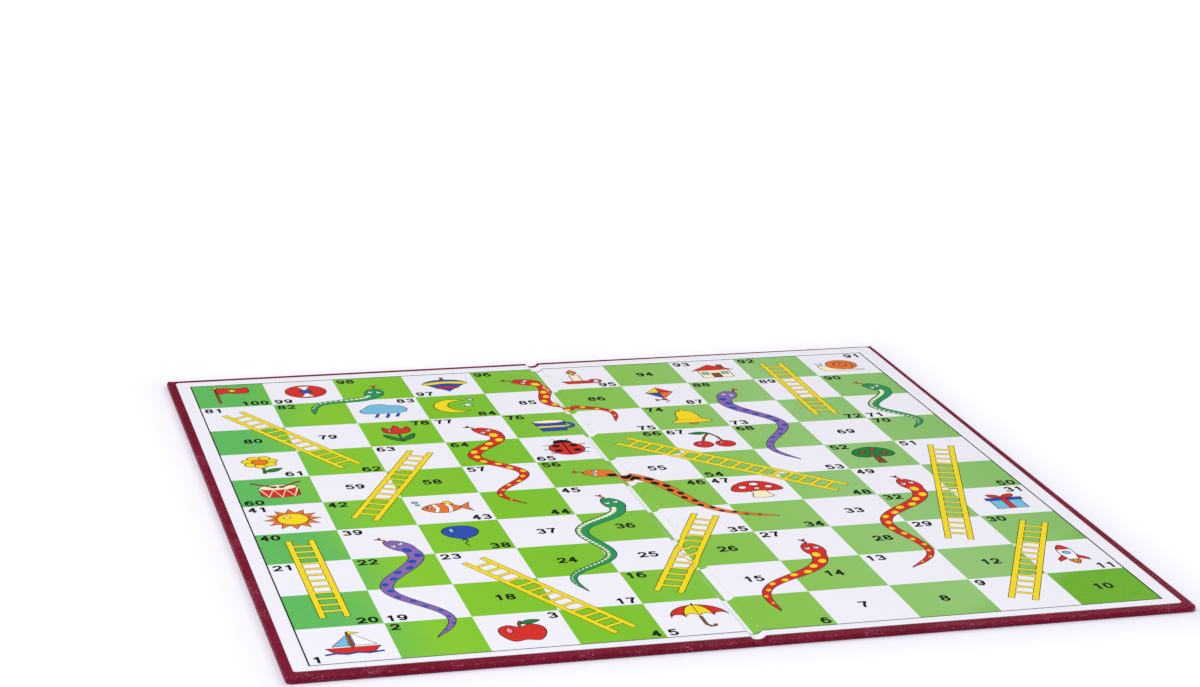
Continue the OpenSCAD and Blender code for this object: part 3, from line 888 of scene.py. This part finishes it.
for points, layer, ink in printed:
    if layers["ladderEdge"] <= layer <= layers["eye"]:
        for a, b in pairs(points):
            parts = max(int(hypot(b[0] - a[0], b[1] - a[1]) / keeping["apart"]), 1)
            for k in range(parts):
                keepClear(a[0] + (b[0] - a[0]) * k / parts, a[1] + (b[1] - a[1]) * k / parts)
for k in range(int(-gridHalf), int(gridHalf) + 1):
    keepClear(-keeping["fold"], k)
    keepClear(keeping["fold"], k)


def clearance(x, y, w, h):
    # how far the nearest ladder or snake is from a number of that half size
    best = keeping["most"]
    column, row = patchOf(x, y)
    for patch in ((column + i, row + j) for i in range(-2, 3) for j in range(-2, 3)):
        for p in busy.get(patch, ()):
            best = min(best, hypot(max(abs(p[0] - x) - w, 0), max(abs(p[1] - y) - h, 0)))
    return best


numberSpots = [(0, 0), (-1, 1), (1, -1), (-1, -1), (1, 1), (-1, 0), (1, 0), (0, 1), (0, -1),
               (-0.5, 0.7), (0.5, 0.7), (-0.5, -0.7), (0.5, -0.7)]
for number in range(1, 101):
    cx, cy = squareMiddle(number)
    w, h = halfSize(number)
    far, high = cell / 2 - numbering["margin"] - w, cell / 2 - numbering["margin"] - h
    tries = [(cx + a * far, cy + b * high) for a, b in numberSpots]
    if number in pictures:
        a, b = cornerBeside[number]
        drawNumber(number, cx + a * far, cy + b * high)
    else:
        room = [min(clearance(*spot, w, h), keeping["enough"]) for spot in tries]
        room[0] += keeping["middleFirst"]
        drawNumber(number, *tries[room.index(max(room))])
print("numbers laid down:", len(printed), "outlines")


# The fold's shape

# The soft trough as distances from the middle and shares of the climb, the bend over the board's crushed edge in
# degrees, and the flat past it
fold = {"trough": ((0.0, 0.0), (0.6, 0.02), (1.0, 0.07), (1.35, 0.15), (1.65, 0.27), (1.95, 0.44), (2.25, 0.66),
                   (2.5, 0.86)),
        "bend": (4, 20, 36, 52, 68, 84), "past": 0.12}


def foldProfile():
    # half the groove as (distance from the middle, height of the sheet's top), from the middle outwards
    low, r, face = board["grooveFloor"] + board["trough"], board["shoulder"], board["faceStart"]
    climb = flapTop - r - low
    turns = [radians(a) for a in fold["bend"]]
    return [(x, low + climb * share) for x, share in fold["trough"]] \
        + [(face + r - r * cos(a), flapTop - r + r * sin(a)) for a in turns] \
        + [(face + r + fold["past"], flapTop)]


profile = foldProfile()


def foldTop(x):
    x = abs(x)
    for (x0, z0), (x1, z1) in zip(profile, profile[1:]):
        if x <= x1:
            return z0 + (z1 - z0) * (x - x0) / (x1 - x0)
    return profile[-1][1]


def easing(low, high, value):
    t = min(max((value - low) / (high - low), 0), 1)
    return t * t * (3 - 2 * t)


def sideOf(value):
    return 1 if value > 0 else -1


# Where the sheet comes down off the tucked wrap
rimStep = {"from": 4.3, "to": 5.8, "loops": 7}


def rimLift(x, y):
    return paper * (1 - easing(rimStep["from"], rimStep["to"], sheetHalf - max(abs(x), abs(y))))


# How far the guillotine went past the true line, in mm: at the left and right end of the front and rear edges,
# then at the front and rear end of the left and right edges. The rear right corner was left longest
trim = {"front": (-1.2, -0.2), "rear": (0.3, 0.5), "left": (0.5, 0.3), "right": (0.0, 0.1), "corner": 1.5,
        "cornerFrom": 126.0, "border": 1.4}


def trimmed(x, y):
    # the white border's outer part moved to the line that was really cut
    def shift(edge, along):
        low, high = trim[edge]
        long = trim["corner"] * easing(trim["cornerFrom"], gridHalf, along) if edge in ("rear", "right") else 0
        return low + (high - low) * (along / sheetHalf + 1) / 2 + long

    start = gridHalf + trim["border"]
    pullX, pullY = (max(abs(v) - start, 0) / (sheetHalf - start) * sideOf(v) for v in (x, y))
    return x + pullX * shift("right" if x > 0 else "left", y), y + pullY * shift("rear" if y > 0 else "front", x)


# Little chips along the fold's shoulders, where the print has cracked
chips = {"length": (0.6, 3.2), "inward": (0.12, 0.36), "width": (0.04, 0.1), "between": (0.3, 4.5), "share": 0.35,
         "form": ((-0.3, 0), (1, 0.3), (0.4, 1), (-1, 0.6))}
random.seed(11)
for side in (-1, 1):
    y = -gridHalf
    while y < gridHalf:
        length = random.uniform(*chips["length"])
        x = side * (board["faceStart"] + random.uniform(*chips["inward"]))
        w = random.uniform(*chips["width"])
        if random.random() < chips["share"]:
            layDown([[(x + w * a, y + length * b) for a, b in chips["form"]]], layers["wear"], "wornPaper")
        y += length + random.uniform(*chips["between"])


# Flattening

def flatten():
    # cuts the outlines, the fold's lines and the rim's loops into triangles, each in its uppermost ink
    points, edges, faces = [], [], []

    def added(places):
        points.extend(Vector(p) for p in places)
        return list(range(len(points) - len(places), len(points)))

    for outline, layer, ink in printed:
        faces.append(added(outline))
    for x in [0.0] + [way * x for x, z in profile[1:] for way in (-1, 1)]:
        edges.append(added([(x, -sheetHalf), (x, sheetHalf)]))
    steps = rimStep["loops"] - 1
    for k in range(rimStep["loops"]):
        reach = sheetHalf - (rimStep["from"] + (rimStep["to"] - rimStep["from"]) * k / steps)
        edges.extend(pairs(added(box(-reach, -reach, reach, reach))))
    flat, _, triangles, _, _, found = delaunay_2d_cdt(points, edges, faces, 1, 1e-4, True)
    boxes = [[f(p[k] for p in outline) for k in (0, 1) for f in (min, max)] for outline, layer, ink in printed]

    def covers(i, x, y):
        # the triangulation can name an outline for a triangle that lies outside it
        low, high, near, far = boxes[i]
        if not (low <= x <= high and near <= y <= far):
            return False
        inside, outline = False, printed[i][0]
        x0, y0 = outline[-1]
        for x1, y1 in outline:
            if (y0 > y) != (y1 > y) and x < x0 + (y - y0) * (x1 - x0) / (y1 - y0):
                inside = not inside
            x0, y0 = x1, y1
        return inside

    kept = []
    for triangle, ids in zip(triangles, found):
        x, y = (sum(flat[i][k] for i in triangle) / 3 for k in (0, 1))
        best = max((printed[i][1:] for i in ids if covers(i, x, y)), default=None)
        if best:
            kept.append((triangle, inkNames.index(best[1])))
    return flat, kept


flatPoints, flatFaces = flatten()
print("print flattened:", len(flatPoints), "points", len(flatFaces), "faces")


def meshFrom(name, verts, faces):
    mesh = bpy.data.meshes.new(name)
    mesh.from_pydata([(x * mm, y * mm, z * mm) for x, y, z in verts], [], faces)
    return mesh


def linked(name, data):
    piece = bpy.data.objects.new(name, data)
    bpy.context.scene.collection.objects.link(piece)
    return piece


# Edges are sharp from these angles, in degrees
sharpFrom = {"sheet": 38, "wrap": 50, "board": 40}


def finished(mesh, materials, angle):
    for material in materials:
        mesh.materials.append(material)
    mesh.shade_smooth()
    mesh.set_sharp_from_angle(angle=radians(angle))
    return linked(mesh.name, mesh)


def papered(piece, share, even, angle):
    # the sheet gets its back and its rim, in the last of its materials, and the modifier is made real
    wall = piece.modifiers.new("paper", "SOLIDIFY")
    wall.thickness, wall.offset, wall.use_even_offset = paper * mm * share, -1, even
    wall.material_offset = wall.material_offset_rim = len(piece.data.materials)
    wall.use_quality_normals = True
    mesh, old = evaluated(piece), piece.data
    piece.modifiers.clear()
    piece.data, mesh.name = mesh, old.name
    bpy.data.meshes.remove(old)
    mesh.set_sharp_from_angle(angle=radians(angle))
    return piece


def sheetPiece(name, side):
    used, verts, faces, slots = {}, [], [], []
    for triangle, slot in flatFaces:
        if side * sum(flatPoints[i].x for i in triangle) <= 0:
            continue
        for i in triangle:
            if i not in used:
                used[i] = len(verts)
                x, y = flatPoints[i]
                verts.append((*trimmed(x, y), foldTop(x) + rimLift(x, y)))
        faces.append([used[i] for i in triangle])
        slots.append(slot)
    mesh = meshFrom(name, verts, faces)
    mesh.polygons.foreach_set("material_index", slots)
    mesh.update()
    return papered(finished(mesh, sheetMaterials, sharpFrom["sheet"]), 1.0, True, sharpFrom["sheet"])


# The wrap
wrap = {
    "corner": 1.9,                                  # radius of the board's corners
    "backEdge": 12.0,                               # where the back's flat middle begins
    "edgeRound": 0.5, "tipRound": 0.75, "tipReach": 6.0,
    "roundMost": 0.42,                              # the rounding's largest share of the height
    # places along an edge, from a corner and from the crease
    "near": [1.9, 2.0, 2.6, 3.3, 4.2, 5.4, 7.0, 9.5, 13.0, 18.0], "spacing": 7.5, "turns": 6,
    "crease": [-0.9, -0.6, -0.3, 0, 0.3, 0.6, 0.9], "beyond": [4.4, 5.6, 8.0, 12.0], "apart": 0.03,
    # places across an edge, on the back and on the flap, and lines across the back
    "back": [7.0, 3.0, 1.2], "flap": [0.9, 1.3, 1.8, 2.4, 3.0, 3.6, 4.1, 4.8, 6.5],
    "backLines": range(-150, 151, 20),
    "mitre": 22.0,                                  # how far from a corner the flaps narrow
    "lump": 0.2, "lumpWidth": 0.5,                  # folded layers along the mitre
    "knot": 0.13, "knotAt": 1.7, "knotWidth": 1.6,  # at its outer end
    "layer": 0.12, "layerStep": (-0.2, 0.25), "layerEnd": (1.5, 9.0), "most": 0.34,
    "bare": 2.9, "bareFar": 1.1,                    # where the sheet begins, also at the rear right corner
    "rise": (0.1, 0.7), "fall": 0.7,
    "press": 0.1, "pressWidth": 0.4, "bow": 0.03, "thin": 0.9,
    "ripple": 0.05, "waves": [(0.31, 0.17, 1), (0.83, -0.71, 0.6)], "outside": 0.2,
}


def press(x):
    # the creases pressed into the back
    return wrap["press"] * exp(-((abs(x) - creaseX) / wrap["pressWidth"]) ** 2)


def sectionOf(height, lift, r):
    # the wrap's section from the back's middle round the edge to the flap's end: the lower part, then the upper
    r = min(r, wrap["roundMost"] * height)
    turns = [radians(18 * k) for k in range(6)]
    lower = [(u, lift) for u in (wrap["backEdge"], *wrap["back"])]
    lower += [(r - r * sin(a), lift + r - r * cos(a)) for a in turns]
    lower += [(0.0, lift + r + (height - lift - 2 * r) * t) for t in (0.33, 0.67)]
    upper = [(r - r * cos(a), height - r + r * sin(a)) for a in turns]
    upper += [(u, height) for u in (*wrap["flap"], board["flapWidth"])]
    return lower, upper


def foldStations():
    # places along the front from the middle of the fold outwards, none of them too close together
    xs = {round(x, 4) for x, z in profile} | {round(creaseX + d, 4) for d in wrap["crease"]}
    kept = [min(xs)]
    for x in sorted(xs):
        if x - kept[-1] > wrap["apart"]:
            kept.append(x)
    return kept + wrap["beyond"]


def wrapStations(outer, fromFold):
    # places along the front, round the outer side and along the rear: (kind, place along the edge, turn)
    def spread(start):
        return [v for v in (start + wrap["spacing"] * k for k in range(1, 60)) if v < end[0] - 2]

    end = [outer - d for d in reversed(wrap["near"])]
    front = fromFold + spread(fromFold[-1]) + end
    beside = [-v for v in reversed(end)] + spread(-end[0]) + end
    turns = [k / wrap["turns"] for k in range(1, wrap["turns"])]
    return [("front", x, 0) for x in front] + [("corner", -1, t) for t in turns] \
        + [("side", y, 0) for y in beside] + [("corner", 1, t) for t in turns] \
        + [("rear", x, 0) for x in reversed(front)]


def mitreRise(x, y, far):
    # folded layers that lie over each other along the diagonal, as far as the sheet that covers them
    dx, dy = board["half"] - abs(x), board["half"] - abs(y)
    across, inward = (dy - dx) / sqrt(2), min(dx, dy)
    bare = wrap["bareFar"] if far else wrap["bare"]
    share = easing(*wrap["rise"], inward) * (1 - easing(bare, bare + wrap["fall"], inward))
    fromTip = hypot(dx - wrap["knotAt"], dy - wrap["knotAt"])
    return share * (wrap["lump"] * exp(-(across / wrap["lumpWidth"]) ** 2)
                    + wrap["knot"] * exp(-(fromTip / wrap["knotWidth"]) ** 2)
                    + wrap["layer"] * easing(*wrap["layerStep"], across) * (1 - easing(*wrap["layerEnd"], across)))


def wrapPlace(station, u, z, top, side):
    # a point of the wrap, u in from the edge at that station
    kind, place, turn = station
    outer, rc, far = board["half"], wrap["corner"], wrap["mitre"]

    def squeezed():
        # near a corner the flaps narrow towards the mitre
        a, m = outer - abs(place), max(u, rc)
        return place if a >= far else (outer - m - (a - rc) * (far - m) / (far - rc)) * sideOf(place)

    if kind in ("front", "rear"):
        x, y = squeezed(), (u - outer) * (1 if kind == "front" else -1)
    elif kind == "side":
        x, y = outer - u, squeezed()
    else:
        middle, r, a = outer - max(u, rc), max(rc - u, 0), radians(90 * turn)
        x, y = middle + r * (sin(a) if place < 0 else cos(a)), middle + r * (cos(a) if place < 0 else sin(a))
        y *= place
    if top:
        z = min(z + mitreRise(x, y, side > 0 and y > 0), flapTop + wrap["most"])
    ripple = wrap["ripple"] * sum(share * sin(x * a + y * b) for a, b, share in wrap["waves"])
    if u < wrap["outside"] and kind == "side":
        x -= abs(ripple) / 2
    elif u < wrap["outside"] and kind != "corner":
        y -= (ripple / 2 + wrap["bow"]) * sideOf(y)
    return side * x, y, z


def backFaces(rows, verts, side, fromFold):
    # fills the back inside the innermost loop, and adds the points that this needs to verts
    outer, backEdge = board["half"], wrap["backEdge"]
    loop, ends = [], []
    for row in rows:
        spot = verts[row[0]][:2]
        if not loop or hypot(spot[0] - loop[-1][0], spot[1] - loop[-1][1]) > 1e-3:
            loop.append(spot)
            ends.append(row[0])
    points, count, edges = [Vector(p) for p in loop], len(loop), []
    lines = [((side * x, backEdge - outer), (side * x, outer - backEdge)) for x in fromFold]
    lines += [((0, y), (side * (outer - backEdge), y)) for y in wrap["backLines"]]
    for line in lines:
        edges.append((len(points), len(points) + 1))
        points.extend(Vector(p) for p in line)
    ring = list(range(count)) if area(loop) > 0 else list(range(count - 1, -1, -1))
    flat, _, fills, origins, _, _ = delaunay_2d_cdt(points, edges, [ring], 1, 1e-4, True)
    base = []
    for p, origin in zip(flat, origins):
        match = next((j for j in origin if j < count), None)
        base.append(len(verts) if match is None else ends[match])
        if match is None:
            verts.append((p.x, p.y, press(p.x)))
    return [[base[i] for i in face] for face in fills]


def cleaned(mesh, merge=False):
    # normals outwards, after the doubles are merged
    work = bmesh.new()
    work.from_mesh(mesh)
    if merge:
        bmesh.ops.remove_doubles(work, verts=work.verts, dist=1e-6)
    bmesh.ops.recalc_face_normals(work, faces=work.faces)
    under = max((f for f in work.faces if f.calc_center_median().z < 0.0003), key=lambda f: f.calc_area())
    if under.normal.z > 0:
        bmesh.ops.reverse_faces(work, faces=work.faces)
    work.to_mesh(mesh)
    work.free()
    return mesh


def wrapPiece(name, side):
    outer, rc, fromFold = board["half"], wrap["corner"], foldStations()
    verts, rows = [], []
    for station in wrapStations(outer, fromFold):
        x = station[1] if station[0] in ("front", "rear") else outer
        # the thick folds of the corner round its edges off
        away = rc if station[0] == "corner" else outer - abs(station[1])
        tip = 1 - easing(rc, wrap["tipReach"], away)
        edgeRound = wrap["edgeRound"] + (wrap["tipRound"] - wrap["edgeRound"]) * tip
        start = len(verts)
        for top, part in enumerate(sectionOf(foldTop(x), press(x), edgeRound)):
            verts.extend(wrapPlace(station, u, z, top, side) for u, z in part)
        rows.append(range(start, len(verts)))
    faces = [(a[i], b[i], b[i + 1], a[i + 1]) for a, b in zip(rows, rows[1:]) for i in range(len(a) - 1)]
    faces += backFaces(rows, verts, side, fromFold)
    mesh = cleaned(meshFrom(name, verts, faces), True)
    return papered(finished(mesh, [wrapPaper], sharpFrom["wrap"]), wrap["thin"], False, sharpFrom["wrap"])


# The greyboards, with the inner edge crushed round by the pull of the paper
greyboard = {"soft": 0.3, "corner": 1.7, "clear": 0.03, "sunk": 0.01}


def greyboardPiece(name, side):
    inner, outer = sorted(abs(v) for v in (boardLow[0], boardHigh[0]))
    reach, bottom, top = boardHigh[1], boardLow[2], boardHigh[2]
    crushed = board["shoulder"] - paper - greyboard["clear"]      # rounding of the inner top edge
    soft, corner = greyboard["soft"], greyboard["corner"]         # cut edges and outer corners
    turns = [radians(a) for a in range(0, 91, 15)]
    near, far = ([(outer - corner + corner * sin(a), way * (reach - corner + corner * cos(a))) for a in turns]
                 for way in (-1, 1))
    plan = [(inner, -reach)] + near + far[::-1] + [(inner, reach)]
    # each ring: how far in, how high, and the same for the inner edge, up the bottom edge and over the top one
    rings = [(soft * (1 - sin(a)), bottom + soft * (1 - cos(a)), None, None) for a in turns[::2]]
    rings += [(soft * (1 - cos(a)), top - soft + soft * sin(a), crushed * (1 - cos(a)),
               top - crushed + crushed * sin(a) - greyboard["sunk"]) for a in turns]
    verts, count = [], len(plan)
    for inset, z, innerInset, innerZ in rings:
        for x, y in plan:
            if x == inner:
                x, height = x + (inset if innerInset is None else innerInset), z if innerZ is None else innerZ
            else:
                x, height = x - inset * (x > outer - corner), z
            verts.append((side * x, y - inset * sideOf(y), height))
    faces = [(r + a, r + b, r + count + b, r + count + a) for r in range(0, len(verts) - count, count)
             for a, b in pairs(list(range(count)))]
    faces += [list(range(count)), list(range(len(verts) - count, len(verts)))]
    return finished(cleaned(meshFrom(name, verts, faces)), [pressedBoard], sharpFrom["board"])


# The dressed board: each half gets its sheet, wrap and greyboard, the greyboard on its panel
bend = {"sheet": (2.7, 1.5), "wrap": (2.9, 1.3)}
for side, label in ((-1, "left"), (1, "right")):
    sheet = sheetPiece(label + "PrintedSheet", side)
    cover = wrapPiece(label + "Wrap", side)
    core = greyboardPiece(label + "PressedBoard", side)
    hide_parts(label + "_greyboard")
    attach(core, label + "_panel")
    prints, flaps = ("green_squares", "frame_line", "ladders", "snakes"), ("front_turn_in", "rear_turn_in")
    sheetNodes = [label + "_" + n for n in ("playing_sheet", *prints)]
    wrapNodes = [label + "_" + n for n in ("back_cover", *flaps, "side_turn_in")]
    if side < 0:
        sheetNodes += ["groove_" + n for n in ("sheet", *prints)]
        wrapNodes += ["spine_" + n for n in ("cover", *flaps)]
    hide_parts(*sheetNodes)
    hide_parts(*wrapNodes)
    for piece, slot, kind in ((sheet, "printed_sheet", "sheet"), (cover, "wrap_paper", "wrap")):
        start, end = bend[kind]
        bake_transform(piece)
    print(label, "half made:", len(sheet.data.polygons), "sheet faces,", len(cover.data.polygons), "wrap faces")

for name in ("left_hinge_wing", "hinge_tape", "right_hinge_wing"):
    materials = frame["nodes"][name].data.materials
    materials.clear()
    materials.append(hingeCloth)


# Floor, light and camera
studio = {
    # the lavender tints the painted shadow near the board, where the glow fades
    "floor": (0.835, 0.82, 0.9, 1), "floorHalf": 6, "floorDrop": 0.0001,
    "floorGlow": 0.34, "fade": 0.06,                                      # the glow starts at the board's edge, and inside that the floor is darker, a painted shadow round the board
    "seen": 1.0, "mirrored": 0.1, "sky": 0.74,
}


def isRay(tree, *kinds):
    # 1 for rays of these kinds
    path = tree.nodes.new("ShaderNodeLightPath")
    share, *others = (Term(path.outputs[f"Is {kind} Ray"]) for kind in kinds)
    for other in others:
        share = calc("MAXIMUM", share, other)
    return share


def paleSurface():
    # white to the camera some way off and darker near the board: the board's soft shadow shows there, and a painted
    # shadow fades out from its outline
    material = bpy.data.materials.new("paleFloor")
    tree = emptied(material)
    plain = node(tree, "ShaderNodeBsdfDiffuse", Color=studio["floor"])
    beyond = [calc("MAXIMUM", calc("ABSOLUTE", v) - board["half"] * mm, 0)
              for v in split(node(tree, "ShaderNodeTexCoord", out=3))[:2]]
    away = calc("SQRT", beyond[0] * beyond[0] + beyond[1] * beyond[1])
    # painted shadow: the glow fades out towards the board's outline, so the floor is darker there
    fade = calc("SMOOTH_MIN", away / studio["fade"], 1, 0.4)
    glow = node(tree, "ShaderNodeEmission",
                Strength=isRay(tree, "Camera", "Glossy", "Transmission") * (studio["floorGlow"] * fade))
    whole = tree.nodes.new("ShaderNodeAddShader")
    plug(whole.inputs[0], plain)
    plug(whole.inputs[1], glow)
    plug(tree.nodes.new("ShaderNodeOutputMaterial").inputs[0], Term(whole.outputs[0]))
    return material


floorMesh = bpy.data.meshes.new("paleFloor")
floorCorners = box(*[way * studio["floorHalf"] for way in (-1, -1, 1, 1)])
floorMesh.from_pydata([(x, y, -studio["floorDrop"]) for x, y in floorCorners], [], [(0, 1, 2, 3)])
floorMesh.materials.append(paleSurface())
floorPiece = linked("paleFloor", floorMesh)

world = bpy.data.worlds.new("studio")
bpy.context.scene.world = world
tree = emptied(world)
behind, mirrored = isRay(tree, "Camera", "Transmission"), isRay(tree, "Glossy")
light = mirrored * studio["mirrored"] + (1 - mirrored) * studio["sky"]
sky = node(tree, "ShaderNodeBackground", Strength=behind * studio["seen"] + (1 - behind) * light)
plug(tree.nodes.new("ShaderNodeOutputWorld").inputs[0], sky)


def softLight(name, spot, target, size, power):
    lamp = bpy.data.lights.new(name, "AREA")
    lamp.shape, lamp.size, lamp.energy = "SQUARE", size, power
    holder = linked(name, lamp)
    holder.location = spot
    holder.rotation_euler = (Vector(target) - Vector(spot)).to_track_quat("-Z", "Y").to_euler()


softLight("keyLight", (-1.3, -0.5, 2.1), (0, 0, 0), 1.5, 33)
softLight("rimLight", (1.7, 1.35, 1.55), (0.05, 0, 0), 1.1, 14)

view = {"lens": 82.067, "place": (-0.30468, -1.01848, 0.37791), "turn": 0.27711, "dip": 0.28930, "roll": 1.8243}
lens = bpy.data.cameras.new("photoCamera")
lens.lens, lens.sensor_width, lens.sensor_fit = view["lens"], 36, "HORIZONTAL"
lens.clip_start = 0.01
camera = linked("photoCamera", lens)
turn, dip, tilt = view["turn"], view["dip"], radians(view["roll"])
forward = Vector((cos(dip) * sin(turn), cos(dip) * cos(turn), -sin(dip)))
right = forward.cross(Vector((0, 0, 1))).normalized()
up = right.cross(forward)
axes = (right * cos(tilt) + up * sin(tilt), up * cos(tilt) - right * sin(tilt), -forward, view["place"])
camera.matrix_world = Matrix([[axis[i] for axis in axes] for i in range(3)] + [[0, 0, 0, 1]])
bpy.context.scene.camera = camera
bpy.context.scene.view_settings.view_transform = "Standard"
print("stage set")
